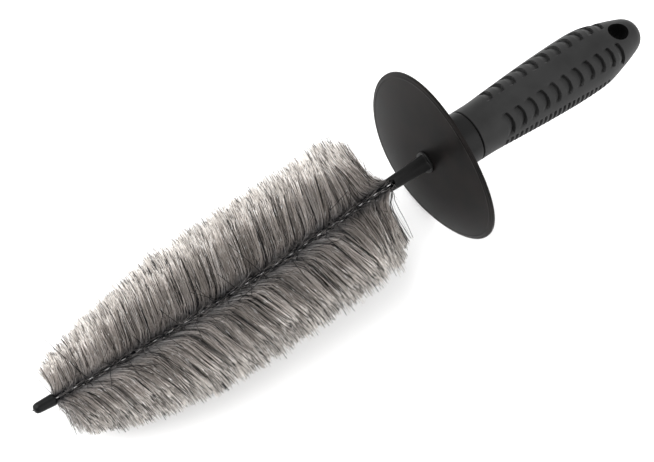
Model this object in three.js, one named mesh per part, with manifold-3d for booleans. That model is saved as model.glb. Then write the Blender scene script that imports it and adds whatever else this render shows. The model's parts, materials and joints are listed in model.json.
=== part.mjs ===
// Wheel brush with a round splash guard, for cleaning car rims.
//
// Two steel wires are twisted round each other and pinch fans of plastic filament between them. Each
// fan's filaments stand out on both sides of the wires, as a left and a right wing.
// A cap covers their cut ends at the tip. Their other end is moulded into the nose of the handle's
// hard core. A guard disc is snapped over the nose, against the core's collar, and can be turned.
// A soft grip with gills and finger ribs is moulded over the core, with a hole to hang it by.
//
// Millimetres. Every piece is first placed in the tool's frame: +X runs along the tool from the tip
// to the butt, x = 0 is the collar's front face, and +Z is the side with the gills and the hole.
// At the end the tool is laid down as it rests, on the guard's rim and the bristles, +Z up.
import * as THREE from "three";
import { mergeVertices } from "three/addons/utils/BufferGeometryUtils.js";
import Module from "manifold-3d";

const wasm = await Module();
wasm.setup();

const GAP = 0.3; // clearance between pieces that touch
const rad = THREE.MathUtils.degToRad;
const { lerp, smoothstep } = THREE.MathUtils;

// ---- driving dimensions -------------------------------------------------------------------------

// Twisted wire
const WIRE_D = 1.9;
const PINCH = 0.3; // filaments held between the two wires
const TAIL_DEPTH = 38; // how far the wires reach behind the collar's front face
const WIRE_SIDES = 6; // an even number
const STEPS_PER_TURN = 8;

// Bristles
const FAN_COUNT = 21; // one to each half turn of the wires
const BRISTLE_R = 42;
const BRISTLE_TIP_R = 24;
const BRISTLE_REAR_R = 34;
const TIP_TAPER = 72; // the length over which the bristles grow to their full radius
const REAR_TAPER = 14;
const TAPER_POWER = 1.35;
const BRUSH_LENGTH = 214; // along the wires, from the first fan to the last
const CAP_TO_ROOT = 4; // bare wire between the cap's mouth and the first fan
const ROOT_TO_NOSE = 8; // bare wire between the last fan and the nose's mouth
const WING_HALF_ANGLE = 46;
const WING_ROLL = 18.5; // the wings' plane, turned from the handle's level
const WING_SEGMENTS = 4;
const END_LEAN = 0.5; // how strongly the last bristles beside the parting lean towards the tip
const END_LEAN_LENGTH = 35;

// The set that the wires have taken
const BOW = 3.8;
const BOW_EASE = 12;

// Tip cap
const CAP_LENGTH = 12.4;
const CAP_MOUTH_D = 6.8;
const CAP_NOSE_D = 5.9;
const CAP_END_WALL = 2.5;
const CAP_SEGMENTS = 24;

// Splash guard
const GUARD_R = 54;
const GUARD_THICKNESS = 1.8;
const GUARD_LAND_R = 17; // flat round the hole
const GUARD_DISH = 3.9; // the rim lies this far behind the land
const GUARD_LEAN = 2.3; // the rim's lean towards the butt, at its angle
const GUARD_LEAN_ANGLE = -68;
const GUARD_WARP = 1.9; // the rim's saddle, either way
const GUARD_WARP_ANGLE = 31;
const GUARD_EDGE = 0.5;
const GUARD_RINGS = 4;
const GUARD_SEGMENTS = 56;

// Handle core
const NOSE_LENGTH = 26;
const NOSE_MOUTH_R = 4.9;
const NOSE_BASE_R = 6;
const NOSE_LOBES = 4;
const NOSE_FLUTE = 0.3; // depth of the flutes, as a share of the radius
const NOTCH_DEPTH = 3; // notches in the nose's mouth
const NOTCH_WIDTH = 2.8;
const MOUTH_FLARE = 1;
const MOUTH_FLARE_DEPTH = 4;
const SEAT_R = 6.3; // the guard turns on it
const BEAD_R = 7; // keeps the guard on
const BEAD_LENGTH = 1.2;
const COLLAR_R = 15.8;
const COLLAR_LENGTH = 27.4;
const COLLAR_EDGE = 0.7;
const BODY_SEGMENTS = 32;

// Soft grip
const SEAM = 0.7; // groove between the collar and the grip
const GRIP_WALL = 3.4;
const GRIP_EDGE = 0.5;
const GRIP_FULL_R = 19.3; // at its fullest
const GRIP_FULL_PLACE = 0.62; // and where that is, as a share of its length
const GRIP_LENGTH = 130.6;
const FLAT_START = 0.52; // where the underside begins to flatten, and ends, as shares of its length
const FLAT_END = 0.82;
const FLATTENING = 0.38; // share of its depth that the underside loses
const PROFILE_STEPS = 24;
const HOLE_LENGTH = 13.8;
const HOLE_WIDTH = 11.2;
const HOLE_FROM_END = 17.8;
const HOLE_LINING = 1.5;
const HOLE_SEGMENTS = 28;
const LAND_WIDTH = 1.6; // flat round the hole's mouths
const LAND_SINK = 0.9;

// Gills, in two rows beside the top face
const GILL_COUNT = 11;
const GILL_PITCH = 8.55;
const GILL_FROM_SEAM = 21; // the first gill's deep edge
const GILL_LENGTH = 5;
const GILL_DEPTH = 2.4;
const GILL_NEAR = 6.2; // the gills' ends, sideways from the handle's middle plane
const GILL_FAR = 15.4;

// Finger ribs, under the grip
const RIB_COUNT = 23;
const RIB_PITCH = 3.45;
const RIB_FROM_SEAM = 17;
const RIB_GROOVE = 1.7;
const RIB_DEPTH = 1.3;
const RIB_HALF_ANGLE = 100; // from the underside, at the ribbed patch's ends
const RIB_SPREAD = 6; // and how much further it reaches at its middle

// ---- sizes that follow ----------------------------------------------------------------------------

const fanPitch = BRUSH_LENGTH / FAN_COUNT;
const twistPitch = 2 * fanPitch;
const helixR = (WIRE_D + PINCH) / 2;
const pairR = helixR + WIRE_D / 2;
const wireBoreR = pairR + GAP;
// A wire's cut end is square to its helix, so one edge of it reaches past the middle by this much.
const wireEndReach = (WIRE_D / 2) * Math.sin(Math.atan((2 * Math.PI * helixR) / twistPitch));

const guardBack = -GAP; // the land's rear face
const guardFront = guardBack - GUARD_THICKNESS;
const beadRear = guardFront - GAP;
const noseBase = beadRear - BEAD_LENGTH;
const mouth = noseBase - NOSE_LENGTH;
const brushRear = mouth - ROOT_TO_NOSE;
const brushFront = brushRear - BRUSH_LENGTH;
const capMouth = brushFront - CAP_TO_ROOT;
const capNose = capMouth - CAP_LENGTH;
const wireFront = capNose + CAP_END_WALL + GAP + wireEndReach;

const gripFront = COLLAR_LENGTH + SEAM;
const butt = gripFront + GRIP_LENGTH;
const holeX = butt - HOLE_FROM_END;

const wingRoll = rad(WING_ROLL);

// ---- geometry helpers -----------------------------------------------------------------------------

// Turns a profile of [x, radius] points round the tool's axis.
function turned(profile, segments) {
  const points = profile.map(([x, r]) => new THREE.Vector2(r, x));
  return new THREE.LatheGeometry(points, segments).rotateZ(-Math.PI / 2);
}

// Moves each vertex of a geometry as the function says.
function reshaped(geometry, move) {
  const places = geometry.getAttribute("position");
  const p = new THREE.Vector3();
  for (let i = 0; i < places.count; i++) {
    move(p.fromBufferAttribute(places, i));
    places.setXYZ(i, p.x, p.y, p.z);
  }
  return geometry;
}

// A closed geometry as a manifold-3d solid.
function solidOf(geometry) {
  const bare = geometry.clone().deleteAttribute("normal").deleteAttribute("uv");
  const merged = mergeVertices(bare, 1e-4);
  return new wasm.Manifold(
    new wasm.Mesh({
      numProp: 3,
      vertProperties: merged.getAttribute("position").array,
      triVerts: new Uint32Array(merged.index.array),
    }),
  );
}

// A manifold-3d solid as a geometry.
function geometryOf(solid) {
  const mesh = solid.getMesh();
  const places = new THREE.BufferAttribute(new Float32Array(mesh.vertProperties), 3);
  const geometry = new THREE.BufferGeometry().setAttribute("position", places);
  geometry.setIndex(new THREE.BufferAttribute(new Uint32Array(mesh.triVerts), 1));
  geometry.computeVertexNormals();
  return geometry;
}

function cylinder(x0, x1, r0, r1, segments) {
  return solidOf(turned([[x0, 0], [x0, r0], [x1, r1], [x1, 0]], segments));
}

// An upright oval post as long and wide as the hanging hole, with a margin round it. It stands on
// its base at the origin.
function ovalPost(margin, height) {
  const post = new THREE.CylinderGeometry(0.5, 0.5, height, HOLE_SEGMENTS).rotateX(Math.PI / 2);
  return post.scale(HOLE_LENGTH + 2 * margin, HOLE_WIDTH + 2 * margin, 1).translate(0, 0, height / 2);
}

// The hanging hole, as a post right through the handle.
function hangingHole(margin) {
  return solidOf(ovalPost(margin, 4 * GRIP_FULL_R).translate(holeX, 0, -2 * GRIP_FULL_R));
}

// ---- the wires' line ------------------------------------------------------------------------------

// How far the wires' middle line is bowed off the tool's axis at x, level with the lower wing.
function bowAt(x) {
  const u = THREE.MathUtils.clamp((mouth - x) / (mouth - capNose), 0, 1);
  return -BOW * 4 * u * (1 - u) * (1 - Math.exp(-BOW_EASE * u));
}

function bowed(p) {
  const off = bowAt(p.x);
  p.y += off * Math.cos(wingRoll);
  p.z += off * Math.sin(wingRoll);
  return p;
}

// One wire of the twisted pair, from the tip to its tail.
class Strand extends THREE.Curve {
  constructor(phase) {
    super();
    this.phase = phase;
    this.arcLengthDivisions = 1500;
  }
  getPoint(t, target = new THREE.Vector3()) {
    const x = lerp(wireFront, TAIL_DEPTH, t);
    const turn = (2 * Math.PI * x) / twistPitch + this.phase;
    return bowed(target.set(x, helixR * Math.cos(turn), helixR * Math.sin(turn)));
  }
}

function wireStrand(phase) {
  const section = new THREE.Shape();
  section.absarc(0, 0, WIRE_D / 2, 0, 2 * Math.PI);
  const steps = Math.round(((TAIL_DEPTH - wireFront) / twistPitch) * STEPS_PER_TURN);
  return new THREE.ExtrudeGeometry(section, {
    steps,
    curveSegments: WIRE_SIDES / 2,
    extrudePath: new Strand(phase),
  });
}

// ---- bristles -------------------------------------------------------------------------------------

// The radius that the bristles reach at x.
function bristleReach(x) {
  const fromTip = Math.min(1, (x - brushFront) / TIP_TAPER);
  const fromRear = Math.min(1, (brushRear - x) / REAR_TAPER);
  const tipLoss = (BRISTLE_R - BRISTLE_TIP_R) * (1 - fromTip) ** TAPER_POWER;
  const rearLoss = (BRISTLE_R - BRISTLE_REAR_R) * (1 - fromRear) ** TAPER_POWER;
  return BRISTLE_R - tipLoss - rearLoss;
}

// How far a bristle at x leans towards the tip, at a height beside the wings' plane.
function bristleLean(x, height) {
  const share = Math.max(0, 1 - (brushRear - x) / END_LEAN_LENGTH);
  return (END_LEAN * share * height ** 2) / BRISTLE_R;
}

// One wing of a fan, from x0 to x1. Side 0 is the wing that the roll lifts, and side 1 the other.
function bristleWing(x0, x1, side) {
  const half = rad(WING_HALF_ANGLE);
  const sector = new THREE.Shape();
  sector.absarc(0, 0, BRISTLE_R, -half, half);
  sector.absarc(0, 0, wireBoreR, half, -half, true);
  const wing = new THREE.ExtrudeGeometry(sector, {
    depth: x1 - x0,
    steps: 1,
    curveSegments: WING_SEGMENTS,
    bevelEnabled: false,
  });
  return reshaped(wing, (p) => {
    const x = x0 + p.z;
    const share = (Math.hypot(p.x, p.y) - wireBoreR) / (BRISTLE_R - wireBoreR);
    const r = lerp(wireBoreR, bristleReach(x), share);
    const turn = Math.atan2(p.y, p.x);
    const angle = turn + wingRoll + side * Math.PI;
    const leaning = x - bristleLean(x, r * Math.sin(turn));
    bowed(p.set(leaning, r * Math.cos(angle), r * Math.sin(angle)));
  });
}

// ---- tip cap --------------------------------------------------------------------------------------

// In its own frame: the mouth at x = 0 and the nose towards -X.
function tipCap() {
  const mouthR = CAP_MOUTH_D / 2;
  const noseR = CAP_NOSE_D / 2;
  const round = noseR * 0.6;
  const boreEnd = CAP_END_WALL - CAP_LENGTH;
  const profile = [
    [-CAP_LENGTH, 0],
    [-CAP_LENGTH, noseR - round],
    [-CAP_LENGTH + round * 0.3, noseR - round * 0.3],
    [-CAP_LENGTH + round, noseR],
    [-1, mouthR],
    [0, mouthR - 0.4],
    [0, wireBoreR],
    [boreEnd, wireBoreR],
    [boreEnd, 0],
  ];
  return turned(profile, CAP_SEGMENTS);
}

// ---- splash guard ---------------------------------------------------------------------------------

// How far behind the land the guard lies, at a distance from the axis and an angle round it.
function guardSet(r, angle) {
  const share = Math.max(0, (r - GUARD_LAND_R) / (GUARD_R - GUARD_LAND_R)) ** 2;
  const lean = GUARD_LEAN * Math.cos(angle - rad(GUARD_LEAN_ANGLE));
  const saddle = GUARD_WARP * Math.cos(2 * (angle - rad(GUARD_WARP_ANGLE)));
  return share * (GUARD_DISH + lean + saddle);
}

function splashGuard() {
  const holeR = SEAT_R + GAP;
  const faceR = GUARD_R - GUARD_EDGE;
  const rings = [holeR, GUARD_LAND_R];
  for (let i = 1; i <= GUARD_RINGS; i++) rings.push(lerp(GUARD_LAND_R, faceR, i / GUARD_RINGS));
  const front = rings.map((r) => [guardFront, r]);
  const back = rings.map((r) => [guardBack, r]).reverse();
  const rim = [
    [guardFront + GUARD_EDGE, GUARD_R],
    [guardBack - GUARD_EDGE, GUARD_R],
  ];
  const profile = [...front, ...rim, ...back, front[0]];
  return reshaped(turned(profile, GUARD_SEGMENTS), (p) => {
    p.x += guardSet(Math.hypot(p.y, p.z), Math.atan2(p.z, p.y));
  });
}

// ---- handle ---------------------------------------------------------------------------------------

// The grip's half width along its length, as a profile of [x, radius] points set in by the wall.
function gripProfile(inset, startX) {
  const swell = GRIP_FULL_R - COLLAR_R;
  const shape = [
    [0, COLLAR_R],
    [0.08, COLLAR_R + 0.02 * swell],
    [0.2, COLLAR_R + 0.3 * swell],
    [0.4, COLLAR_R + 0.74 * swell],
    [GRIP_FULL_PLACE, GRIP_FULL_R],
    [0.73, 0.97 * GRIP_FULL_R],
    [0.83, 0.81 * GRIP_FULL_R],
    [0.9, 0.67 * GRIP_FULL_R],
    [0.96, 0.515 * GRIP_FULL_R],
    [0.99, 0.32 * GRIP_FULL_R],
    [1, 0],
  ];
  const line = new THREE.SplineCurve(
    shape.map(([share, r]) => new THREE.Vector2(gripFront + share * GRIP_LENGTH, r)),
  );
  const samples = line.getPoints(PROFILE_STEPS);
  const kept = [];
  samples.forEach((point, i) => {
    const before = samples[Math.max(0, i - 1)];
    const after = samples[Math.min(samples.length - 1, i + 1)];
    const along = after.clone().sub(before).normalize();
    const x = point.x + along.y * inset;
    const r = Math.max(0, point.y - along.x * inset);
    if (x > startX) kept.push([x, r]);
  });
  kept[kept.length - 1] = [butt - inset, 0];
  return kept;
}

// How much of its depth the handle keeps at x, on its top side or its underside.
function keptDepth(x, side) {
  if (side >= 0) return 1;
  const from = gripFront + FLAT_START * GRIP_LENGTH;
  const to = gripFront + FLAT_END * GRIP_LENGTH;
  return 1 - FLATTENING * smoothstep(x, from, to);
}

function flattened(geometry) {
  return reshaped(geometry, (p) => {
    p.z *= keptDepth(p.x, p.z);
  });
}

// The core's body under the grip, from inside the collar to round the hanging hole.
function coreBody(inset, holeMargin) {
  const start = COLLAR_LENGTH - 5;
  const profile = gripProfile(inset, gripFront + 1);
  const first = profile[0][1];
  const body = solidOf(flattened(turned([[start, 0], [start, first], ...profile], BODY_SEGMENTS)));
  return body.subtract(hangingHole(holeMargin));
}

// The nose: lobes with flutes between them, tapering towards the tip.
function noseSolid() {
  const profile = [
    [mouth, 0],
    [mouth, NOSE_MOUTH_R - 0.5],
    [mouth + 0.6, NOSE_MOUTH_R],
    [noseBase + 0.1, NOSE_BASE_R],
    [noseBase + 0.1, 0],
  ];
  const shape = reshaped(turned(profile, BODY_SEGMENTS), (p) => {
    const angle = Math.atan2(p.z, p.y);
    const flute = NOSE_FLUTE * Math.cos((NOSE_LOBES / 2) * (angle - wingRoll - Math.PI / 4)) ** 2;
    const scale = 1 - NOSE_FLUTE + flute;
    p.y *= scale;
    p.z *= scale;
  });
  const notch = new THREE.BoxGeometry(2 * NOTCH_DEPTH, NOTCH_WIDTH, 4 * NOSE_BASE_R);
  const notches = notch.translate(mouth, 0, 0).rotateX(wingRoll);
  return solidOf(shape).subtract(solidOf(notches));
}

function handleCore() {
  const collar = solidOf(
    turned(
      [
        [0, 0],
        [0, COLLAR_R - COLLAR_EDGE],
        [COLLAR_EDGE, COLLAR_R],
        [COLLAR_LENGTH - COLLAR_EDGE, COLLAR_R],
        [COLLAR_LENGTH, COLLAR_R - COLLAR_EDGE],
        [COLLAR_LENGTH, 0],
      ],
      BODY_SEGMENTS,
    ),
  );
  const bore = cylinder(mouth - 1, TAIL_DEPTH + wireEndReach + GAP, wireBoreR, wireBoreR, 24);
  const flareR = wireBoreR + MOUTH_FLARE;
  const flare = cylinder(mouth - 0.1, mouth + MOUTH_FLARE_DEPTH, flareR, wireBoreR, 24);
  return noseSolid()
    .add(cylinder(noseBase, beadRear, BEAD_R, BEAD_R, BODY_SEGMENTS))
    .add(cylinder(beadRear - 0.1, 0.1, SEAT_R, SEAT_R, BODY_SEGMENTS))
    .add(collar)
    .add(coreBody(GRIP_WALL + GAP, HOLE_LINING + GAP))
    .subtract(bore)
    .subtract(flare);
}

// A block wrapped on the grip's surface. Along, around and up run from 0 to 1 in the block.
// Place gives each corner's x, its angle from the top and its height over the surface.
function wrappedBlock(surface, around, place) {
  const block = new THREE.BoxGeometry(1, 1, 1, 1, around, 1).translate(0.5, 0.5, 0.5);
  const wrapped = reshaped(block, (p) => {
    const { x, angle, height } = place(p.x, p.y, p.z);
    const r = surface(x) + height;
    p.set(x, r * Math.sin(angle), r * Math.cos(angle) * keptDepth(x, Math.cos(angle)));
  });
  return solidOf(wrapped);
}

// The grip's half width at x, read off its profile.
function gripSurface(profile) {
  return (x) => {
    const i = Math.max(1, profile.findIndex(([px]) => px >= x));
    const [x0, r0] = profile[i - 1];
    const [x1, r1] = profile[i];
    return lerp(r0, r1, (x - x0) / (x1 - x0));
  };
}

// A gill is a ramp that sinks towards the butt and ends in a wall.
function gill(surface, deepEdge, side) {
  const near = Math.asin(GILL_NEAR / surface(deepEdge));
  const far = Math.asin(Math.min(0.99, GILL_FAR / surface(deepEdge)));
  return wrappedBlock(surface, 4, (along, around, up) => ({
    x: deepEdge - GILL_LENGTH * (1 - along),
    angle: side * lerp(side > 0 ? near : far, side > 0 ? far : near, around),
    height: lerp(-GILL_DEPTH * along + 0.05, GILL_DEPTH, up),
  }));
}

// A rib groove crosses the underside. The ribbed patch is widest at its middle.
function ribGroove(surface, x, share) {
  const half = rad(RIB_HALF_ANGLE + RIB_SPREAD * Math.sin(Math.PI * share));
  return wrappedBlock(surface, 9, (along, around, up) => ({
    x: x + RIB_GROOVE * (along - 0.5),
    angle: Math.PI + half * (2 * around - 1),
    height: lerp(-RIB_DEPTH, RIB_DEPTH, up),
  }));
}

// What the flat land round one mouth of the hole takes off the surface.
function landCut(surface, side) {
  const height = (x) => surface(x) * keptDepth(x, side);
  const reach = HOLE_LENGTH / 2 + LAND_WIDTH;
  const slope = Math.atan2(height(holeX + reach) - height(holeX - reach), 2 * reach);
  const cut = ovalPost(LAND_WIDTH, GRIP_FULL_R).rotateY(-slope);
  cut.translate(holeX, 0, height(holeX) - LAND_SINK);
  return solidOf(side > 0 ? cut : cut.rotateX(Math.PI));
}

function gripSleeve() {
  const profile = gripProfile(0, gripFront + GRIP_EDGE);
  const surface = gripSurface([[gripFront - 1, COLLAR_R], ...profile]);
  const start = surface(gripFront);
  const outer = [[gripFront, 0], [gripFront, start - GRIP_EDGE], ...profile];
  const cuts = [];
  for (let i = 0; i < GILL_COUNT; i++) {
    const deepEdge = gripFront + GILL_FROM_SEAM + i * GILL_PITCH;
    cuts.push(gill(surface, deepEdge, 1), gill(surface, deepEdge, -1));
  }
  for (let i = 0; i < RIB_COUNT; i++) {
    const share = i / (RIB_COUNT - 1);
    cuts.push(ribGroove(surface, gripFront + RIB_FROM_SEAM + i * RIB_PITCH, share));
  }
  const cavity = coreBody(GRIP_WALL, HOLE_LINING);
  return solidOf(flattened(turned(outer, BODY_SEGMENTS)))
    .subtract(cavity)
    .subtract(hangingHole(0))
    .subtract(landCut(surface, 1))
    .subtract(landCut(surface, -1))
    .subtract(wasm.Manifold.union(cuts));
}

// ---- assembly -------------------------------------------------------------------------------------

const steel = new THREE.MeshStandardMaterial({ color: 0x3a3a3c, roughness: 0.4, metalness: 1 });
const filament = new THREE.MeshStandardMaterial({ color: 0x8d8681, roughness: 0.5 });
const capPlastic = new THREE.MeshStandardMaterial({ color: 0x1c1d1d, roughness: 0.4 });
const guardPlastic = new THREE.MeshStandardMaterial({ color: 0x262626, roughness: 0.45 });
const corePlastic = new THREE.MeshStandardMaterial({ color: 0x2a2a2a, roughness: 0.5 });
const gripRubber = new THREE.MeshStandardMaterial({ color: 0x303030, roughness: 0.7 });

function piece(name, geometry, material) {
  const mesh = new THREE.Mesh(geometry, material);
  mesh.name = name;
  return mesh;
}

const tool = new THREE.Group();

tool.add(piece("wire_strand_a", wireStrand(0), steel));
tool.add(piece("wire_strand_b", wireStrand(Math.PI), steel));

for (let i = 0; i < FAN_COUNT; i++) {
  const x0 = brushFront + i * fanPitch;
  const x1 = x0 + fanPitch - GAP;
  const name = `bristle_fan_${String(i + 1).padStart(2, "0")}`;
  tool.add(piece(`${name}_left`, bristleWing(x0, x1, 0), filament));
  tool.add(piece(`${name}_right`, bristleWing(x0, x1, 1), filament));
}

// The cap sits square on the end of the bowed wires.
const capSlope = (bowAt(capMouth) - bowAt(capNose)) / CAP_LENGTH;
const cap = piece("tip_cap", tipCap(), capPlastic);
const capTurn = new THREE.Group().add(cap);
capTurn.rotation.x = wingRoll;
cap.rotation.z = Math.atan(capSlope);
capTurn.position.copy(bowed(new THREE.Vector3(capMouth, 0, 0)));
tool.add(capTurn);

tool.add(piece("splash_guard", splashGuard(), guardPlastic));
tool.add(piece("handle_core", geometryOf(handleCore()), corePlastic));
tool.add(piece("grip_sleeve", geometryOf(gripSleeve()), gripRubber));

// The nose-down angle at which the guard's rim and the bristles share a level floor.
function restingTilt() {
  const lowest = Math.sin(Math.min(Math.PI / 2, wingRoll + rad(WING_HALF_ANGLE)));
  const rimX = guardSet(GUARD_R, -Math.PI / 2);
  let tilt = Math.PI / 2;
  for (let i = 0; i <= 8 * FAN_COUNT; i++) {
    const x = brushFront + (i / (8 * FAN_COUNT)) * BRUSH_LENGTH;
    const depth = bristleReach(x) * lowest - bowAt(x) * Math.sin(wingRoll);
    tilt = Math.min(tilt, Math.atan((GUARD_R - depth) / (rimX - x)));
  }
  return tilt;
}

// Laid down, with the origin under the middle of the whole brush.
tool.rotation.y = -restingTilt();
const brush = new THREE.Group().add(tool);
brush.updateMatrixWorld(true);
const box = new THREE.Box3().setFromObject(brush, true);
tool.position.set(-(box.min.x + box.max.x) / 2, -(box.min.y + box.max.y) / 2, -box.min.z);

export default brush;
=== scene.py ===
"""Looks of the wheel brush: bristles, wires, tip cap, splash guard, core and grip, on a pale floor."""

import json
import math

import bpy
import numpy as np
from mathutils import Matrix


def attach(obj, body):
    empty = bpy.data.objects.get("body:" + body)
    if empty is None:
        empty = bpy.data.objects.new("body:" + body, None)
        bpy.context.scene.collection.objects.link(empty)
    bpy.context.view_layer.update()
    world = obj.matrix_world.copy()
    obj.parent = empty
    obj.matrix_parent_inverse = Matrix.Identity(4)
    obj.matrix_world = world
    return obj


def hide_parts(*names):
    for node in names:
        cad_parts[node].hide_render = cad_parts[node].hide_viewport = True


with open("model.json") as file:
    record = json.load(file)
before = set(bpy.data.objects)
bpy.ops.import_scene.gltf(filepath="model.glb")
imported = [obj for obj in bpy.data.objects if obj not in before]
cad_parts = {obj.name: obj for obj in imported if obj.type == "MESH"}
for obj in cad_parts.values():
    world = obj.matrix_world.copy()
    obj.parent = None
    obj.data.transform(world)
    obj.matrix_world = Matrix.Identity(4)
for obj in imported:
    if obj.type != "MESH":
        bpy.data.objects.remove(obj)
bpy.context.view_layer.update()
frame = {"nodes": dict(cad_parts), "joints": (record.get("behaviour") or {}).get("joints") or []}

# ---- the tool's frame --------------------------------------------------------------------------------
# Shapes are worked out in the tool's own frame, in millimetres: +X runs along the tool from the tip to
# the butt, x = 0 is the front face of the handle's collar, and +Z is the side with the hanging hole.

MM = 0.001
GAP = 0.3  # clearance between pieces that touch
HINGE_X = -1.2  # the middle of the guard's thickness, at its hole
joint = frame["joints"][0]
ALONG = np.array(joint["axis"]) / np.linalg.norm(joint["axis"])
ACROSS = np.array([0.0, 1.0, 0.0])
BASIS = np.array([ALONG, ACROSS, np.cross(ALONG, ACROSS)])
ORIGIN = np.array(joint["pos_m"]) / MM - HINGE_X * ALONG


def to_world(points):
    """Points in the tool's frame, in millimetres, as points in the row's frame, in metres."""
    return (np.asarray(points) @ BASIS + ORIGIN) * MM


def span(node):
    """The lowest and highest corner of a CAD node in the tool's frame, in millimetres."""
    mesh = frame["nodes"][node].data
    places = np.empty(len(mesh.vertices) * 3, np.float32)
    mesh.vertices.foreach_get("co", places)
    places = (places.reshape(-1, 3) / MM - ORIGIN) @ BASIS.T
    return places.min(0), places.max(0)


FANS = sorted({name[: -len("_left")] for name in frame["nodes"] if name.endswith("_left")})
WING_ROLL = math.radians(18.5)  # the wings' plane, turned from the handle's level
WING_HALF_ANGLE = math.radians(46)
BRISTLE_R = 42
BRISTLE_TIP_R = 24
BRISTLE_REAR_R = 34
TIP_TAPER = 72
REAR_TAPER = 14
TAPER_POWER = 1.35
END_LEAN = 0.5
END_LEAN_LENGTH = 35
BOW = 3.8
BOW_EASE = 12
WIRE_D = 1.9
HELIX_R = 1.1

brush_front = span(FANS[0] + "_left")[0][0]
brush_rear = span(FANS[-1] + "_left")[1][0] + GAP
fan_pitch = (brush_rear - brush_front) / len(FANS)
nose_mouth = span("handle_core")[0][0]
cap_nose = span("tip_cap")[0][0]
cap_mouth = span("tip_cap")[1][0]
grip_front = span("grip_sleeve")[0][0]
butt = span("grip_sleeve")[1][0]
guard_r = span("splash_guard")[1][1]


def smoothstep(x, low, high):
    """A smooth step from 0 at low to 1 at high."""
    u = np.clip((x - low) / (high - low), 0, 1)
    return u * u * (3 - 2 * u)


def bow_at(x):
    """How far the wires' middle line is bowed off the axis at x: a parabola between the nose and the
    tip cap, eased in at the nose."""
    u = np.clip((nose_mouth - x) / (nose_mouth - cap_nose), 0, 1)
    return -BOW * 4 * u * (1 - u) * (1 - np.exp(-BOW_EASE * u))


def bowed(points):
    """The points moved with the wires' bow, which lies in the wings' plane."""
    off = bow_at(points[..., 0])
    moved = points.copy()
    moved[..., 1] += off * math.cos(WING_ROLL)
    moved[..., 2] += off * math.sin(WING_ROLL)
    return moved


# ---- meshes ------------------------------------------------------------------------------------------


def mesh_piece(name, points, quads, triangles=None, sharp=None):
    """A mesh from points in the tool's frame, quads and triangles. Its faces are turned the other way
    round if the volume that they enclose comes out negative."""
    triangles = np.empty((0, 3), int) if triangles is None else np.asarray(triangles)
    halves = np.concatenate([quads[:, [0, 1, 2]], quads[:, [0, 2, 3]], triangles])
    a, b, c = (points[halves[:, k]] for k in range(3))
    if np.einsum("ij,ij->i", a, np.cross(b, c)).sum() < 0:
        quads, triangles = quads[:, ::-1], triangles[:, ::-1]
    mesh = bpy.data.meshes.new(name)
    mesh.vertices.add(len(points))
    mesh.vertices.foreach_set("co", to_world(points).astype(np.float32).ravel())
    corners = np.concatenate([quads.ravel(), triangles.ravel()])
    starts = np.concatenate(
        [np.arange(len(quads)) * 4, len(quads) * 4 + np.arange(len(triangles)) * 3]
    )
    mesh.loops.add(len(corners))
    mesh.loops.foreach_set("vertex_index", corners.astype(np.int32))
    mesh.polygons.add(len(starts))
    mesh.polygons.foreach_set("loop_start", starts.astype(np.int32))
    mesh.update(calc_edges=True)
    mesh.polygons.foreach_set("use_smooth", np.ones(len(starts), bool))
    mesh.validate()
    if sharp is not None:
        mesh.set_sharp_from_angle(angle=math.radians(sharp))
    piece = bpy.data.objects.new(name, mesh)
    bpy.context.scene.collection.objects.link(piece)
    return piece


def skin(name, rings, ring_shaped=False, sharp=None):
    """A closed surface through rings of points, an array of (ring, point, xyz). A ring-shaped one joins
    its last ring to its first. Any other closes each end in a point at the middle of the end's ring."""
    count, around, _ = rings.shape
    points = rings.reshape(-1, 3)
    i = np.arange(count if ring_shaped else count - 1)[:, None]
    j = np.arange(around)[None, :]
    this, after = i * around, (i + 1) % count * around
    quads = np.stack(
        [this + j, this + (j + 1) % around, after + (j + 1) % around, after + j], -1
    ).reshape(-1, 4)
    if ring_shaped:
        return mesh_piece(name, points, quads, sharp=sharp)
    k = np.arange(around)
    last = (count - 1) * around
    first_pole, last_pole = np.full(around, len(points)), np.full(around, len(points) + 1)
    triangles = np.concatenate(
        [
            np.stack([(k + 1) % around, k, first_pole], -1),
            np.stack([last + k, last + (k + 1) % around, last_pole], -1),
        ]
    )
    points = np.concatenate([points, rings[[0, -1]].mean(1)])
    return mesh_piece(name, points, quads, triangles, sharp)


def turned(profile, around):
    """Rings from a profile of (x, radius) pairs carried round the tool's axis."""
    profile = np.asarray(profile, float)
    angle = np.linspace(0, 2 * math.pi, around, endpoint=False)
    x = np.broadcast_to(profile[:, :1], (len(profile), around))
    r = profile[:, 1:]
    return np.stack([x, r * np.cos(angle), r * np.sin(angle)], -1)


def along_line(corners, step):
    """Points along the straight stretches between corners, no further apart than step."""
    corners = np.asarray(corners, float)
    parts = []
    for start, end in zip(corners[:-1], corners[1:]):
        count = max(1, math.ceil(np.linalg.norm(end - start) / step))
        parts.append(start + (end - start) * np.arange(count)[:, None] / count)
    return np.concatenate([*parts, corners[-1:]])


def rounded(corners, radius, steps=5):
    """The corners of an open line, with each inner corner replaced by a curve that starts and ends
    radius away from it, a quadratic that has the corner as its middle control point."""
    corners = np.asarray(corners, float)
    line = [corners[:1]]
    t = np.linspace(0, 1, steps)[:, None]
    for before, corner, after in zip(corners[:-2], corners[1:-1], corners[2:]):
        to_before, to_after = before - corner, after - corner
        reach_in = min(radius, np.linalg.norm(to_before) * 0.45)
        reach_out = min(radius, np.linalg.norm(to_after) * 0.45)
        start = corner + to_before / np.linalg.norm(to_before) * reach_in
        end = corner + to_after / np.linalg.norm(to_after) * reach_out
        line.append((1 - t) ** 2 * start + 2 * t * (1 - t) * corner + t**2 * end)
    return np.concatenate([*line, corners[-1:]])


def dress(piece, body, slot, materials, *nodes):
    """Gives a piece its materials and its body, and hides the CAD nodes that it stands for. The finish
    slot is not used.
    """
    for material in materials:
        piece.data.materials.append(material)
    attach(piece, body)
    if nodes:
        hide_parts(*nodes)
    return piece


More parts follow.
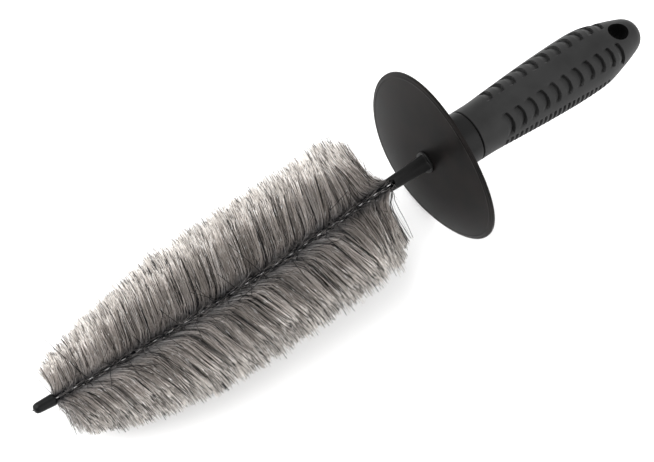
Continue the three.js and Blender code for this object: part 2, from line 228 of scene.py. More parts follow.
# ---- materials ---------------------------------------------------------------------------------------


def srgb(hex_code):
    """A colour from its sRGB hex value, as linear red, green, blue and alpha."""
    parts = [int(hex_code[i : i + 2], 16) / 255 for i in (1, 3, 5)]
    return (*(c / 12.92 if c <= 0.04045 else ((c + 0.055) / 1.055) ** 2.4 for c in parts), 1)


def add(tree, kind, inputs=None, stops=None, **settings):
    """Adds a node with its settings. Inputs maps a socket to a value or to the socket that feeds it,
    and stops are a colour ramp's places and hex colours."""
    node = tree.nodes.new(kind)
    for name, value in settings.items():
        setattr(node, name, value)
    for socket, value in (inputs or {}).items():
        if isinstance(value, bpy.types.NodeSocket):
            tree.links.new(value, node.inputs[socket])
        else:
            node.inputs[socket].default_value = value
    if stops:
        elements = node.color_ramp.elements
        while len(elements) < len(stops):
            elements.new(0.5)
        for element, (place, hex_code) in zip(elements, stops):
            element.position = place
            element.color = srgb(hex_code)
    return node


def material(name):
    """A new material with its node tree and its surface shader."""
    made = bpy.data.materials.new(name)
    made.use_nodes = True
    tree = made.node_tree
    return made, tree, tree.nodes["Principled BSDF"]


def filament_glints(tree, place, shade):
    """Where a filament catches the light: short bright dashes, at random along its outer part."""
    spot = add(tree, "ShaderNodeCombineXYZ", {"X": place, "Y": shade})
    stretch = add(tree, "ShaderNodeVectorMath", {0: spot.outputs["Vector"]}, operation="MULTIPLY")
    stretch.inputs[1].default_value = (5.0, 400.0, 1.0)
    noise = add(tree, "ShaderNodeTexNoise", {"Vector": stretch.outputs["Vector"], "Scale": 1.0})
    dash = add(
        tree,
        "ShaderNodeMapRange",
        {"Value": noise.outputs["Fac"], "From Min": 0.63, "From Max": 0.69},
    )
    outer = add(tree, "ShaderNodeMapRange", {"Value": place, "From Min": 0.15, "From Max": 0.35})
    both = {0: dash.outputs["Result"], 1: outer.outputs["Result"]}
    return add(tree, "ShaderNodeMath", both, operation="MULTIPLY").outputs["Value"]


def nylon_filament():
    """Extruded nylon bristle, undyed taupe. Its colour is painted dark grey where it leaves the wires,
    as painted shade, and paler towards the cut end, as painted light; each filament is a little lighter
    or darker than the next, the lower wing darker than the upper as painted shade, and there are bright
    glints."""
    made, tree, shader = material("extruded_nylon_taupe")
    place = add(tree, "ShaderNodeAttribute", attribute_name="along").outputs["Fac"]
    shade = add(tree, "ShaderNodeAttribute", attribute_name="shade").outputs["Fac"]
    # Painted shade and light along each filament: dark grey at the wires for the shade among the
    # bristles, near white at the cut end for light through the thin ends
    root_shade_and_tip_light = add(
        tree,
        "ShaderNodeValToRGB",
        {"Fac": place},
        stops=[
            (0.0, "#26272a"),
            (0.07, "#7c7b7c"),
            (0.22, "#b8b2ae"),
            (0.8, "#d2cbc6"),
            (1.0, "#fbf8f4"),
        ],
    )
    # Each filament's tone: random from one filament to the next, and by wing as painted light and shade,
    # the upper wing paler and the lower darker
    tone_with_wing_light_and_shade = add(
        tree,
        "ShaderNodeValToRGB",
        {"Fac": shade},
        stops=[(0.0, "#4b4947"), (0.5, "#b9b5b1"), (0.85, "#f2eeeb"), (1.0, "#ffffff")],
    )
    colour = add(
        tree,
        "ShaderNodeMix",
        {"Factor": 1.0, 6: root_shade_and_tip_light.outputs["Color"], 7: tone_with_wing_light_and_shade.outputs["Color"]},
        data_type="RGBA",
        blend_type="MULTIPLY",
    )
    lit = add(
        tree,
        "ShaderNodeMix",
        {"Factor": filament_glints(tree, place, shade), 6: colour.outputs[2], 7: srgb("#ffffff")},
        data_type="RGBA",
    )
    tree.links.new(lit.outputs[2], shader.inputs["Base Color"])
    shader.inputs["Roughness"].default_value = 0.3
    shader.inputs["IOR"].default_value = 1.53
    return made


def black_filament():
    """The few dyed black bristles among the taupe ones: nearly black."""
    made, tree, shader = material("extruded_nylon_black")
    shade = add(tree, "ShaderNodeAttribute", attribute_name="shade")
    colour = add(
        tree,
        "ShaderNodeValToRGB",
        {"Fac": shade.outputs["Fac"]},
        stops=[(0.0, "#040404"), (1.0, "#151517")],
    )
    tree.links.new(colour.outputs["Color"], shader.inputs["Base Color"])
    shader.inputs["Roughness"].default_value = 0.35
    shader.inputs["Specular IOR Level"].default_value = 0.25
    return made


def moulded(name, low, high, roughness, specular, grain_mm, bump_mm, mottle_mm=14):
    """Moulded plastic or rubber. A soft mottle between two near colours gives it the slightly uneven
    tone of a moulding, and a fine grain breaks up its gloss."""
    made, tree, shader = material(name)
    place = add(tree, "ShaderNodeTexCoord").outputs["Object"]
    mottle = add(
        tree, "ShaderNodeTexNoise", {"Vector": place, "Scale": 1 / (mottle_mm * MM), "Detail": 3.0}
    )
    colour = add(
        tree,
        "ShaderNodeValToRGB",
        {"Fac": mottle.outputs["Fac"]},
        stops=[(0.35, low), (0.65, high)],
    )
    grain = add(
        tree, "ShaderNodeTexNoise", {"Vector": place, "Scale": 1 / (grain_mm * MM), "Detail": 2.0}
    )
    gloss = add(
        tree,
        "ShaderNodeMapRange",
        {"Value": mottle.outputs["Fac"], "To Min": roughness - 0.05, "To Max": roughness + 0.05},
    )
    bump = add(
        tree,
        "ShaderNodeBump",
        {"Height": grain.outputs["Fac"], "Strength": 0.6, "Distance": bump_mm * MM},
    )
    tree.links.new(colour.outputs["Color"], shader.inputs["Base Color"])
    tree.links.new(gloss.outputs["Result"], shader.inputs["Roughness"])
    tree.links.new(bump.outputs["Normal"], shader.inputs["Normal"])
    shader.inputs["Specular IOR Level"].default_value = specular
    return made


def steel_wire():
    """Drawn steel wire, dulled: dark, with fine lengthwise drawing marks."""
    made, tree, shader = material("drawn_steel_wire")
    place = add(tree, "ShaderNodeTexCoord").outputs["Object"]
    marks = add(tree, "ShaderNodeTexNoise", {"Vector": place, "Scale": 900.0, "Detail": 2.0})
    colour = add(
        tree,
        "ShaderNodeValToRGB",
        {"Fac": marks.outputs["Fac"]},
        stops=[(0.3, "#0c0d0e"), (0.7, "#1e1f21")],
    )
    tree.links.new(colour.outputs["Color"], shader.inputs["Base Color"])
    shader.inputs["Metallic"].default_value = 1.0
    shader.inputs["Roughness"].default_value = 0.6
    return made


# ---- wires and tip cap -------------------------------------------------------------------------------


def tube(name, line, radius, sides):
    """A round tube of one radius along a line of points. Each ring lies square to the line, in a frame
    made from the line's direction and the tool's upward direction."""
    direction = np.gradient(line, axis=0)
    direction /= np.linalg.norm(direction, axis=1, keepdims=True)
    first = np.cross(direction, [0.0, 0.0, 1.0])
    first /= np.linalg.norm(first, axis=1, keepdims=True)
    second = np.cross(direction, first)
    angle = np.linspace(0, 2 * math.pi, sides, endpoint=False)
    rings = line[:, None] + radius * (
        np.cos(angle)[None, :, None] * first[:, None] + np.sin(angle)[None, :, None] * second[:, None]
    )
    return skin(name, rings, sharp=50)


def wire_strand(node, phase, finish):
    """One wire of the twisted pair: a helix about the bowed middle line."""
    x = np.arange(span(node)[0][0] + 0.2, span(node)[1][0] - 0.2, 0.7)
    turn = math.pi * x / fan_pitch + phase
    line = bowed(np.stack([x, HELIX_R * np.cos(turn), HELIX_R * np.sin(turn)], -1))
    return dress(tube("twisted_" + node, line, WIRE_D / 2, 10), "handle", "wire", [finish], node)


def tip_cap(finish):
    """The cap: a line of (x, radius) corners with rounded edges, carried round the cap's own axis,
    then laid along the end of the bowed wires."""
    length = cap_mouth - cap_nose
    bore = HELIX_R + WIRE_D / 2 + GAP
    corners = [
        (-length + 2.5, 0.05),
        (-length + 2.5, bore),
        (-0.3, bore),
        (0, bore + 0.25),
        (0, 2.9),
        (-0.9, 3.4),
        (-length + 2.0, 3.0),
        (-length + 0.5, 2.3),
        (-length, 1.2),
        (-length, 0.34),
        (-length - 0.8, 0.3),
        (-length - 0.9, 0.05),
    ]
    rings = turned(along_line(rounded(corners, 0.5), 0.6), 48)
    x0, x1 = cap_nose, cap_mouth
    slope = math.atan2(bow_at(np.array(x1)) - bow_at(np.array(x0)), x1 - x0)
    tilt = np.array([math.cos(WING_ROLL), math.sin(WING_ROLL)])
    moved = rings.copy()
    across = rings[..., 1] * tilt[0] + rings[..., 2] * tilt[1]
    rest = -rings[..., 1] * tilt[1] + rings[..., 2] * tilt[0]
    x = rings[..., 0] * math.cos(slope) - across * math.sin(slope)
    out = rings[..., 0] * math.sin(slope) + across * math.cos(slope) + bow_at(np.array(x1))
    moved[..., 0] = x1 + x
    moved[..., 1] = out * tilt[0] - rest * tilt[1]
    moved[..., 2] = out * tilt[1] + rest * tilt[0]
    return dress(skin("moulded_tip_cap", moved, sharp=60), "handle", "cap_plastic", [finish], "tip_cap")


# ---- bristles ----------------------------------------------------------------------------------------

WING_PAINTED_LIGHT_AND_SHADE = (0.62, 0.44)  # mean tone of the upper and the lower wing, from 0 to 1: the upper is painted paler as painted light, the lower darker as painted shade
FILAMENTS_PER_WING = 600
BLACK_SHARE = 0.12
STEPS = np.array([0, 0.06, 0.14, 0.25, 0.42, 0.7, 1.0])  # places of a filament's points along it
SIDES = 3
CLUMPS_PER_WING = 46
FUZZ_PER_FAN = 120
ROOT_R = 1.6
UPPER_TRIM = 4.6  # how much shorter the upper wing is near the tip
LOWER_EXCESS = 1.8  # and how much longer the lower one is there
LOWER_COMBING = 13  # how far the lower wing's roots lie nearer the tip, on the parting's side
UPPER_COMBING = 4
REAR_COMBING = 7.5  # how far the last roots lie nearer the butt
FRONT_COMBING = 3
HEIGHT_LEAN = 0.3  # lean at the rear for each millimetre of height on the parting's side
COMBED_RADIUS = 6.5  # the roots are combed along the wires within about this distance


def bristle_reach(x):
    """The radius that the bristles reach at x: full, less a power curve towards the tip and the rear."""
    from_tip = np.clip((x - brush_front) / TIP_TAPER, 0, 1)
    from_rear = np.clip((brush_rear - x) / REAR_TAPER, 0, 1)
    tip_loss = (BRISTLE_R - BRISTLE_TIP_R) * (1 - from_tip) ** TAPER_POWER
    rear_loss = (BRISTLE_R - BRISTLE_REAR_R) * (1 - from_rear) ** TAPER_POWER
    return BRISTLE_R - tip_loss - rear_loss


def filament_mesh(name, lines, radii, along, shade, black):
    """Filaments as one mesh: each is a three-sided rod along its line of points, closed at both ends.
    The attribute along is the place on the filament, and shade is one number for each filament."""
    count, steps, _ = lines.shape
    direction = np.gradient(lines, axis=1)
    direction /= np.linalg.norm(direction, axis=2, keepdims=True)
    helper = np.array([1.0, 0.31, 0.17])
    first = np.cross(direction, helper)
    first /= np.linalg.norm(first, axis=2, keepdims=True)
    second = np.cross(direction, first)
    angle = np.arange(SIDES) * 2 * math.pi / SIDES
    ring = (
        np.cos(angle)[:, None] * first[:, :, None] + np.sin(angle)[:, None] * second[:, :, None]
    )
    points = (lines[:, :, None] + radii[:, :, None, None] * ring).reshape(-1, 3)
    base = (np.arange(count) * steps * SIDES)[:, None, None]
    i = (np.arange(steps - 1) * SIDES)[None, :, None]
    j = np.arange(SIDES)[None, None, :]
    k = (np.arange(SIDES) + 1)[None, None, :] % SIDES
    quads = np.stack([base + i + j, base + i + k, base + i + SIDES + k, base + i + SIDES + j], -1)
    ends = base[:, 0, :] + np.array([[2, 1, 0]])
    tips = base[:, 0, :] + (steps - 1) * SIDES + np.array([[0, 1, 2]])
    piece = mesh_piece(name, points, quads.reshape(-1, 4), np.concatenate([ends, tips]))
    mesh = piece.data
    along = np.broadcast_to(np.asarray(along)[..., None], (count, steps, SIDES))
    shades = np.broadcast_to(shade[:, None, None], (count, steps, SIDES))
    for label, values in (("along", along), ("shade", shades)):
        layer = mesh.attributes.new(label, "FLOAT", "POINT")
        layer.data.foreach_set("value", values.astype(np.float32).ravel())
    dark = np.concatenate([np.repeat(black, (steps - 1) * SIDES), black, black])
    mesh.polygons.foreach_set("material_index", dark.astype(np.int32))
    return piece


def polar(x, angle, r):
    """Points at x, at an angle about the axis and a distance from it."""
    return np.stack([x, r * np.cos(angle), r * np.sin(angle)], -1)


def wing_tilt(x, side):
    """How far a wing's filaments lean towards the butt for each millimetre out. At the tip the upper
    wing leans forward and the lower one back, and both ease to nearly square at the rear."""
    place = np.clip((x - brush_front) / (brush_rear - brush_front), 0, 1)
    return 0.08 - 0.12 * place**2 if side else -0.09 + 0.07 * place**6


def wing_filaments(rng, x0, x1, side, count):
    """The lines of one wing's filaments. A filament runs straight out, leaning by the wing's tilt and,
    at the rear, by the square of its height over the wing's plane plus a share of that height on the
    parting's side. Near the wires it is combed: its root lies nearer the tip, and at the rear end it
    comes out of the nose. Neighbours gather in clumps towards their ends. The upper wing is trimmed
    near the tip, and the lower one is a little longer there."""
    clump = rng.integers(0, CLUMPS_PER_WING, count)
    clump_x = rng.uniform(x0, x1, CLUMPS_PER_WING)[clump]
    clump_share = rng.uniform(-1, 1, CLUMPS_PER_WING)[clump]
    clump_reach = rng.normal(0, 0.042, CLUMPS_PER_WING)[clump]
    loose = rng.random(count) < 0.25
    spread = np.where(loose, 2.6, 0.75)
    end_x = clump_x + rng.normal(0, 1, count) * spread
    share = np.clip(clump_share + rng.normal(0, 0.06, count) * spread, -1.04, 1.04)
    shorter = np.abs(rng.normal(0, 0.035, count)) + 0.2 * (rng.random(count) < 0.06) * rng.random(count)
    from_rear, from_tip = brush_rear - end_x, end_x - brush_front
    if side:
        trim = -LOWER_EXCESS * (1 - smoothstep(from_tip, 30, 75))
    else:
        trim = UPPER_TRIM * (1 - smoothstep(from_tip, 55, 100))
    reach = bristle_reach(np.clip(end_x, brush_front, brush_rear)) * (1 + clump_reach - shorter) - trim
    r = ROOT_R + (reach[:, None] - ROOT_R) * STEPS
    middle = WING_ROLL + side * math.pi
    turn = share * WING_HALF_ANGLE
    out, height = r * np.cos(turn)[:, None], r * np.sin(turn)[:, None]
    near_rear = np.clip(1 - from_rear / END_LEAN_LENGTH, 0, 1)
    over = np.maximum(-height if side else height, 0)
    lean = near_rear[:, None] * (END_LEAN * height**2 / BRISTLE_R + HEIGHT_LEAN * over)
    if side:
        combed = LOWER_COMBING * np.clip((0.25 - share) / 1.25, 0, 1)
    else:
        combed = UPPER_COMBING * np.clip(share - 0.3, 0, 1)
    combed *= smoothstep(from_rear, 8, 45) * smoothstep(from_tip, 2, 25)
    combed -= REAR_COMBING * (1 - smoothstep(from_rear, 0, 22))
    combed += FRONT_COMBING * (1 - smoothstep(from_tip, 0, 8))
    combed += rng.normal(0, 1.2, count)
    radius = COMBED_RADIUS * rng.uniform(0.7, 1.3, count)
    sweep = combed[:, None] * np.exp(-((r / radius[:, None]) ** 2))
    bend = rng.normal(0, 0.45, count)[:, None] * 4 * STEPS * (1 - STEPS)
    tilt = wing_tilt(end_x, side) + rng.normal(0, 0.035, count)
    x = end_x[:, None] + tilt[:, None] * out - lean - sweep + bend
    x = np.clip(x, cap_mouth + 0.6, nose_mouth - 0.5)
    wander = rng.normal(0, 0.012, count)[:, None] * 4 * STEPS * (1 - STEPS)
    lines = polar(x, middle + turn[:, None] + wander, r)
    # The wing's mean tone is painted light or shade, paler on the upper wing and darker on the lower;
    # clumps and filaments vary at random round it
    shade = WING_PAINTED_LIGHT_AND_SHADE[side] + rng.normal(0, 0.17, CLUMPS_PER_WING)[clump]
    shade += rng.normal(0, 0.22, count)
    return lines, np.clip(shade, 0, 1)


def stray_filaments(rng, x0, x1, count):
    """Straight filaments at odd angles across the wings, on the parting's side."""
    root_x = rng.uniform(x0, x1, count)
    root = polar(root_x, rng.uniform(-0.4, 3.5, count) + WING_ROLL, np.full(count, 6.0))
    turn = WING_ROLL + rng.uniform(0.2, math.pi - 0.2, count)
    end_x = np.minimum(rng.uniform(x0 - 9, x1 + 9, count), brush_rear - 9)
    end = polar(end_x, turn, rng.uniform(20, 36, count))
    return root[:, None] + (end - root)[:, None] * STEPS[:, None]


def fuzz_filaments(rng, x0, x1, count):
    """Short fine hairs round the wires: each leaves the wires at any angle, lies along them either way,
    and curls outwards by the square of the place along it."""
    turn = rng.uniform(0, 2 * math.pi, count)[:, None] + rng.normal(0, 0.5, count)[:, None] * STEPS
    length = rng.uniform(3, 13, count)[:, None]
    way = np.where(rng.random(count) < 0.65, 1, -1)[:, None]
    x = rng.uniform(x0 - 1, x1 + 1, count)[:, None] + way * 0.8 * length * STEPS
    x = np.clip(x, cap_mouth + 0.4, nose_mouth - 0.4)
    r = 1.4 + rng.uniform(0.2, 0.9, count)[:, None] * length * STEPS**1.6
    return polar(x, turn, r)


def bristle_fan(index, name, finishes):
    """One fan: the filaments of its two wings, a few strays, and the short hairs round the wires."""
    rng = np.random.default_rng(100 + index)
    x0 = brush_front + index * fan_pitch
    x1 = x0 + fan_pitch
    count = FILAMENTS_PER_WING
    wings, shades = zip(*(wing_filaments(rng, x0, x1, side, count) for side in (0, 1)))
    strays = stray_filaments(rng, x0, x1, 4)
    fuzz = fuzz_filaments(rng, x0 - 3 * (index == 0), x1 + 6 * (index == len(FANS) - 1), FUZZ_PER_FAN)
    lines = bowed(np.concatenate([*wings, strays, fuzz]))
    shade = np.concatenate([*shades, np.full(len(strays), 0.5), rng.uniform(0.3, 1.0, len(fuzz))])
    is_fuzz = np.arange(len(lines)) >= len(lines) - len(fuzz)
    black = (rng.random(len(lines)) < BLACK_SHARE) & ~is_fuzz
    black[2 * count : 2 * count + len(strays)] = True
    thick = np.where(black, 0.2, np.where(is_fuzz, 0.055, 0.12)) * rng.uniform(0.8, 1.2, len(lines))
    radii = thick[:, None] * (1 - 0.25 * STEPS)
    along = np.where(is_fuzz[:, None], 0.02 + 0.12 * STEPS, STEPS)
    title = name.replace("bristle_fan", "bristles")
    piece = filament_mesh(title, lines, radii, along, shade, black)
    return dress(piece, "handle", "filament", finishes, name + "_left", name + "_right")


# ---- splash guard ------------------------------------------------------------------------------------

GUARD_DISH = 3.9
GUARD_LEAN = 2.3
GUARD_LEAN_ANGLE = math.radians(-68)
GUARD_WARP = 1.9
GUARD_WARP_ANGLE = math.radians(31)
GUARD_LAND_R = 17
GUARD_THICKNESS = 1.8
GUARD_HOLE_R = 6.6


def splash_guard(finish):
    """The guard's section of (x, radius) corners, with a low bead near the rim, carried round the axis.
    Outside its flat land it is dished, leant and warped into a saddle, by the square of the distance."""
    back, front = -GAP, -GAP - GUARD_THICKNESS
    bead_r = guard_r - 2.4
    section = [
        (front, GUARD_HOLE_R),
        (front, bead_r - 0.7),
        (front - 0.22, bead_r),
        (front, bead_r + 0.7),
        (front, guard_r),
        (back, guard_r),
        (back, GUARD_HOLE_R),
        (front, GUARD_HOLE_R),
    ]
    line = along_line(rounded(section, 0.5, 6), 1.2)[:-1]
    rings = turned(line, 240)
    r = np.hypot(rings[..., 1], rings[..., 2])
    turn = np.arctan2(rings[..., 2], rings[..., 1])
    share = np.clip((r - GUARD_LAND_R) / (guard_r - GUARD_LAND_R), 0, None) ** 2
    lean = GUARD_LEAN * np.cos(turn - GUARD_LEAN_ANGLE)
    saddle = GUARD_WARP * np.cos(2 * (turn - GUARD_WARP_ANGLE))
    rings[..., 0] += share * (GUARD_DISH + lean + saddle)
    piece = skin("moulded_splash_guard", rings, ring_shaped=True, sharp=45)
    return dress(piece, "guard", "guard_plastic", [finish], "splash_guard")


# ---- handle ------------------------------------------------------------------------------------------

COLLAR_R = 15.8
COLLAR_LENGTH = 27.4
NOSE_MOUTH_R = 4.9
NOSE_BASE_R = 6
NOSE_FLUTE = 0.3
NOTCH_DEPTH = 3
BEAD_R = 7
SEAT_R = 6.3
TAIL_DEPTH = 38
GRIP_WALL = 3.4
FLAT_START = 0.52
FLAT_END = 0.82
FLATTENING = 0.38
HOLE_LENGTH = 13.8
HOLE_WIDTH = 11.2
HOLE_LINING = 1.5
LINING_SUNK = 1.5  # how far below the surface the lining meets the wall
hole_x = butt - 17.8
grip_length = butt - grip_front

GRIP_FULL_R = 19.3
SWELL = GRIP_FULL_R - COLLAR_R

# The grip's half width at shares of its length
GRIP_SHAPE = [
    (0, COLLAR_R),
    (0.08, COLLAR_R + 0.02 * SWELL),
    (0.2, COLLAR_R + 0.3 * SWELL),
    (0.4, COLLAR_R + 0.74 * SWELL),
    (0.62, GRIP_FULL_R),
    (0.73, 0.97 * GRIP_FULL_R),
    (0.83, 0.81 * GRIP_FULL_R),
    (0.9, 0.67 * GRIP_FULL_R),
    (0.96, 0.515 * GRIP_FULL_R),
    (0.99, 0.32 * GRIP_FULL_R),
    (1, 0),
]


def kept_depth(x, side):
    """How much of its depth the handle keeps at x. Its underside, where side is negative, flattens
    towards the butt in a smooth step."""
    low, high = grip_front + FLAT_START * grip_length, grip_front + FLAT_END * grip_length
    return np.where(side < 0, 1 - FLATTENING * smoothstep(x, low, high), 1)


def grip_line(count):
    """The grip's profile of (x, half width): a Catmull-Rom curve through its shape's points."""
    shape = np.array(GRIP_SHAPE) * [grip_length, 1] + [grip_front, 0]
    padded = np.concatenate([shape[:1], shape, shape[-1:]])
    place = np.linspace(0, len(shape) - 1, count)
    i = np.minimum(place.astype(int), len(shape) - 2)
    t = (place - i)[:, None]
    a, b, c, d = (padded[i + k] for k in range(4))
    return 0.5 * (
        2 * b + (c - a) * t + (2 * a - 5 * b + 4 * c - d) * t**2 + (3 * b - a - 3 * c + d) * t**3
    )


def even(line, step):
    """The line sampled anew at even steps along its length."""
    length = np.concatenate([[0], np.cumsum(np.linalg.norm(np.diff(line, axis=0), axis=1))])
    places = np.linspace(0, length[-1], max(2, round(length[-1] / step)))
    return np.stack([np.interp(places, length, line[:, k]) for k in range(2)], -1)


def inset(line, depth):
    """The line moved inwards by depth, square to itself, without crossing the axis."""
    tangent = np.gradient(line, axis=0)
    tangent /= np.linalg.norm(tangent, axis=1, keepdims=True)
    moved = line + depth * np.stack([tangent[:, 1], -tangent[:, 0]], -1)
    moved[:, 1] = np.maximum(moved[:, 1], 0.05)
    return moved[moved[:, 0] <= butt - depth + 0.01]


GILL_COUNT = 11
GILL_PITCH = 8.55
GILL_FROM_SEAM = 21
GILL_LENGTH = 5
GILL_RAMP = 1.1
GILL_SLOT = 1.8
GILL_EDGE = 0.3  # over which a gill's wall falls
GILL_BOWING = 1.9
GILL_HOOK = 0.9
GILL_DEPTH = 2.4
GILL_NEAR, GILL_FAR = 6.2, 15.4
RIB_COUNT = 23
RIB_PITCH = 3.45
RIB_FROM_SEAM = 17
RIB_DEPTH = 1.3
RIB_HALF_ANGLE = math.radians(100)
RIB_SPREAD = math.radians(6)


def gill_depth(x, aside):
    """How deep the gills sink at x and at a distance aside from the middle plane. Each is a shallow
    ramp that sinks towards the butt and ends in a deep slot, whose line bows towards the butt and
    hooks back at its far end."""
    s = (np.abs(aside) - GILL_NEAR) / (GILL_FAR - GILL_NEAR)
    bowing = GILL_BOWING * (1 - (s / 0.7 - 1) ** 2) - GILL_HOOK * smoothstep(s, 0.84, 1.02)
    place = (x - grip_front - GILL_FROM_SEAM - bowing) / GILL_PITCH
    index = np.ceil(place)
    before = (index - place) * GILL_PITCH
    wall = smoothstep(before, 0, GILL_EDGE)
    slot = wall * (1 - smoothstep(before, GILL_SLOT - 0.2, GILL_SLOT + 0.2))
    ramp = wall * np.clip(1 - (before - GILL_SLOT) / (GILL_LENGTH - GILL_SLOT), 0, 1)
    inside = (index >= 0) & (index < GILL_COUNT)
    edge = smoothstep(s, -0.025, 0.02) * (1 - smoothstep(s, 0.97, 1.03))
    return np.where(inside, edge * np.maximum(GILL_DEPTH * slot, GILL_RAMP * ramp), 0)


def rib_depth(x, angle):
    """How deep the grooves between the finger ribs sink, at x and at an angle from the top. The ribbed
    patch reaches furthest up at its middle."""
    place = (x - grip_front - RIB_FROM_SEAM) / RIB_PITCH
    index = np.round(place)
    share = np.clip(index / (RIB_COUNT - 1), 0, 1)
    half = RIB_HALF_ANGLE + RIB_SPREAD * np.sin(math.pi * share)
    inside = (index >= 0) & (index < RIB_COUNT)
    groove = 1 - smoothstep(np.abs(place - index) * RIB_PITCH, 0.68, 1.02)
    within = 1 - smoothstep(math.pi - np.abs(angle), half - 0.06, half)
    return np.where(inside, RIB_DEPTH * groove * within, 0)


def grip_rings(line, around, carved):
    """Rings along a grip profile, flattened towards the butt. Carved ones have the gills and ribs."""
    angle = np.linspace(-math.pi, math.pi, around, endpoint=False)[None, :]
    x = np.broadcast_to(line[:, :1], (len(line), around))
    r = np.broadcast_to(line[:, 1:], (len(line), around))
    if carved:
        gills = np.where(np.cos(angle) > 0, gill_depth(x, r * np.sin(angle)), 0)
        r = np.maximum(r - gills - rib_depth(x, angle), 0.05)
    return np.stack([x, r * np.sin(angle), r * np.cos(angle) * kept_depth(x, np.cos(angle))], -1)


def hole_oval(margin):
    """The x and y of points round the hanging hole's oval, with a margin round it."""
    t = np.linspace(0, 2 * math.pi, 96, endpoint=False)
    return hole_x + (HOLE_LENGTH / 2 + margin) * np.cos(t), (HOLE_WIDTH / 2 + margin) * np.sin(t)


def core_post():
    """An upright oval rod through the core, where the grip's lining passes with its clearance."""
    x, y = hole_oval(HOLE_LINING + GAP)
    return skin("hole", np.stack([np.stack([x, y, np.full_like(x, z)], -1) for z in (-30, 30)]))


def surface_height(x, y, side):
    """The height of the grip's top or underside over a place on the middle plane."""
    line = grip_line(400)
    half = np.interp(x, line[:, 0], line[:, 1])
    return np.sqrt(np.maximum(half**2 - y**2, 0)) * kept_depth(x, side)


def hole_cutter():
    """The hanging hole with its mouths rolled: an oval rod that widens over the last half millimetre
    below the grip's surface, whatever the surface's height is there."""
    rows = []
    for side in (-1, 1):
        for depth, margin in ((0.6, 0.0), (0.2, 0.12), (-0.25, 0.55), (-20.0, 0.55)):
            x, y = hole_oval(margin)
            rows.append(np.stack([x, y, side * (surface_height(x, y, side) - depth)], -1))
    rows = rows[3::-1] + rows[4:]
    return skin("hole", np.stack(rows))


def hole_lining():
    """The wall round the hanging hole: an oval rod between places inside the grip's top and bottom
    walls, whatever the surface's height is there, which the hole is then cut through."""
    x, y = hole_oval(HOLE_LINING)
    rows = [np.stack([x, y, side * (surface_height(x, y, side) - LINING_SUNK)], -1) for side in (-1, 1)]
    return skin("lining", np.stack(rows))


def cut(piece, tool_piece, operation="DIFFERENCE"):
    """Cuts one piece by another, or joins them, and removes the other."""
    change = piece.modifiers.new("cut", "BOOLEAN")
    change.operation = operation
    change.solver = "EXACT"
    if len(tool_piece.data.materials):
        change.material_mode = "TRANSFER"
    change.object = tool_piece
    with bpy.context.temp_override(object=piece, active_object=piece):
        bpy.ops.object.modifier_apply(modifier=change.name)
    bpy.data.objects.remove(tool_piece)


def grip_sleeve(finish, hole_shade_finish):
    """The grip: its outer skin from the front lip to the butt, and the cavity that the core fills, as
    one closed surface, with the lined hanging hole through it."""
    outer = even(grip_line(400), RIB_PITCH / 10)
    outer = np.concatenate([[(grip_front, COLLAR_R - 0.45)], outer[1:]])
    hollow = even(inset(grip_line(400), GRIP_WALL), 4)[::-1]
    hollow = np.concatenate([hollow[:-1], [(grip_front, hollow[-1][1])]])
    rings = np.concatenate([grip_rings(hollow, 224, False), grip_rings(outer, 224, True)])
    piece = skin("overmoulded_grip", rings, sharp=38)
    piece.data.materials.append(finish)
    lining, cutter = hole_lining(), hole_cutter()
    lining.data.materials.append(finish)
    # The hole's wall is painted shade: a darker, glossless black than the rest of the rubber
    cutter.data.materials.append(hole_shade_finish)
    cut(piece, lining, "UNION")
    cut(piece, cutter)
    return dress(piece, "handle", "grip_rubber", [], "grip_sleeve")


def handle_core(finish):
    """The core: a profile of (x, radius) from the wires' pocket out over the fluted nose, the bead, the
    seat and the collar, and back along the body under the grip."""
    bore = HELIX_R + WIRE_D / 2 + GAP
    base = -GAP * 2 - GUARD_THICKNESS - 1.2
    corners = [
        (TAIL_DEPTH + GAP, 0.05),
        (TAIL_DEPTH + GAP, bore),
        (nose_mouth + 4, bore),
        (nose_mouth, bore + 1),
        (nose_mouth, NOSE_MOUTH_R),
        (base, NOSE_BASE_R),
        (base, BEAD_R),
        (base + 1.2, BEAD_R),
        (base + 1.2, SEAT_R),
        (0, SEAT_R),
        (0, COLLAR_R),
        (COLLAR_LENGTH, COLLAR_R),
        (COLLAR_LENGTH, COLLAR_R - GRIP_WALL - GAP),
    ]
    front = along_line(rounded(corners, 0.6), 1.2)
    body = even(inset(grip_line(400), GRIP_WALL + GAP), 3)
    line = np.concatenate([front, body[body[:, 0] > COLLAR_LENGTH + 1]])
    rings = turned(line, 144)
    r = np.hypot(rings[..., 1], rings[..., 2])
    turn = np.arctan2(rings[..., 2], rings[..., 1]) - WING_ROLL
    wave = np.cos(2 * (turn - math.pi / 4)) ** 2 - 1
    on_nose = (rings[..., 0] <= base) & (r > bore + 1.2)
    on_bead = (rings[..., 0] > base) & (rings[..., 0] < base + 1.3) & (r > SEAT_R)
    scale = 1 + np.where(on_nose, NOSE_FLUTE, np.where(on_bead, 0.08, 0)) * wave
    from_parting = np.abs((turn + math.pi) % math.pi - math.pi / 2)
    notch = 1 - smoothstep(from_parting, 0.3, 0.62)
    from_mouth = np.clip(1 - (rings[..., 0] - nose_mouth) / (2 * NOTCH_DEPTH), 0, 1)
    rings[..., 0] += NOTCH_DEPTH * notch * from_mouth
    rings[..., 1] *= scale
    rings[..., 2] *= scale * kept_depth(rings[..., 0], rings[..., 2])
    piece = skin("moulded_core", rings, sharp=40)
    cut(piece, core_post())
    return dress(piece, "handle", "core_plastic", [finish], "handle_core")


# ---- camera, floor and light -------------------------------------------------------------------------

CAMERA_FROM_GUARD = np.array([-0.375, -0.294, 0.879])  # direction, in the tool's frame
CAMERA_DISTANCE = 1250
TOOL_ANGLE = math.radians(32.4)  # of the tool's axis in the picture
GUARD_RIGHT, GUARD_UP = 57.6, 40.1  # from the middle of the view
FOCAL_LENGTH = 121.9


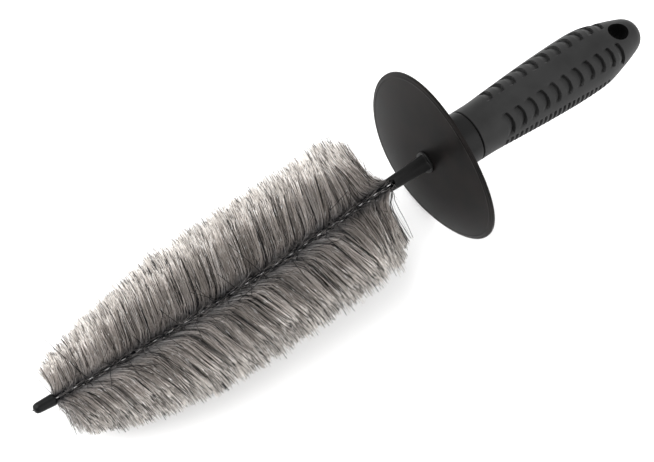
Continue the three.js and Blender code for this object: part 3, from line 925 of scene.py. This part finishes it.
def place_camera():
    """Looks at the guard from its direction, rolled so that the tool rises at its angle."""
    back = CAMERA_FROM_GUARD / np.linalg.norm(CAMERA_FROM_GUARD)
    rise = np.array([1.0, 0.0, 0.0]) - back[0] * back
    rise /= np.linalg.norm(rise)
    left = np.cross(back, rise)
    right = math.cos(TOOL_ANGLE) * rise - math.sin(TOOL_ANGLE) * left
    up = math.sin(TOOL_ANGLE) * rise + math.cos(TOOL_ANGLE) * left
    place = CAMERA_DISTANCE * back - GUARD_RIGHT * right - GUARD_UP * up
    lens = bpy.data.cameras.new("camera")
    lens.lens = FOCAL_LENGTH
    camera = bpy.data.objects.new("camera", lens)
    turn = np.stack([right, up, back], -1)
    world_turn = (turn.T @ BASIS).T
    matrix = Matrix(np.block([[world_turn, to_world(place)[:, None]], [np.zeros((1, 3)), 1]]).tolist())
    camera.matrix_world = matrix
    bpy.context.scene.collection.objects.link(camera)
    bpy.context.scene.camera = camera


def area_light(name, place, target, size, power):
    """A rectangular soft light at a place, in metres, facing its target."""
    lamp = bpy.data.lights.new(name, "AREA")
    lamp.shape = "RECTANGLE"
    lamp.size, lamp.size_y = size
    lamp.energy = power
    light = bpy.data.objects.new(name, lamp)
    way = Matrix.Translation(place).to_translation() - Matrix.Translation(target).to_translation()
    light.matrix_world = Matrix.Translation(place) @ way.to_track_quat("Z", "Y").to_matrix().to_4x4()
    bpy.context.scene.collection.objects.link(light)


def studio():
    """A pale floor, a bright surround, and soft lights."""
    bpy.context.scene.view_settings.view_transform = "Standard"
    bpy.ops.mesh.primitive_plane_add(size=6)
    floor = bpy.context.object
    floor.name = "floor"
    made, _, shader = material("white_paper_floor")
    shader.inputs["Base Color"].default_value = srgb("#ffffff")
    shader.inputs["Roughness"].default_value = 0.9
    floor.data.materials.append(made)
    world = bpy.data.worlds.new("surround")
    bpy.context.scene.world = world
    world.use_nodes = True
    world.node_tree.nodes["Background"].inputs["Color"].default_value = (1, 1, 1, 1)
    world.node_tree.nodes["Background"].inputs["Strength"].default_value = 0.9
    area_light("key", (0.35, -1.1, 0.9), (0, 0, 0), (2.0, 1.4), 14)
    area_light("top", (-0.9, 0.7, 1.3), (0, 0, 0), (2.0, 1.8), 46)


# ---- assembly ----------------------------------------------------------------------------------------

place_camera()
studio()
steel = steel_wire()
wire_strand("wire_strand_a", 0, steel)
wire_strand("wire_strand_b", math.pi, steel)

# The cap is polyethylene from a polished mould: black, with the tightest highlights
tip_cap(moulded("injection_moulded_pe", "#060607", "#0c0d0d", 0.3, 0.12, 0.6, 0.02))

# The guard is polypropylene from a satin mould: a soft, slightly warm black with broad highlights
splash_guard(moulded("injection_moulded_pp_satin", "#0c0b0b", "#161312", 0.46, 0.06, 0.7, 0.03))

# The core is polypropylene from a plainer mould: neutral black, a little duller than the cap
handle_core(moulded("injection_moulded_pp", "#0e0e0e", "#151515", 0.42, 0.14, 0.7, 0.04))

# The grip is thermoplastic rubber from a fine-grained mould: charcoal and matt. The hanging hole's
# wall is painted the deepest black with almost no gloss, as painted shade inside the hole
grip_sleeve(
    moulded("overmoulded_tpr", "#121212", "#1a1a1a", 0.55, 0.26, 0.5, 0.06),
    moulded("overmoulded_tpr_hole_shade", "#020202", "#040404", 0.9, 0.05, 0.5, 0.06),
)

filament_finishes = [nylon_filament(), black_filament()]
for number, fan_name in enumerate(FANS):
    bristle_fan(number, fan_name, filament_finishes)
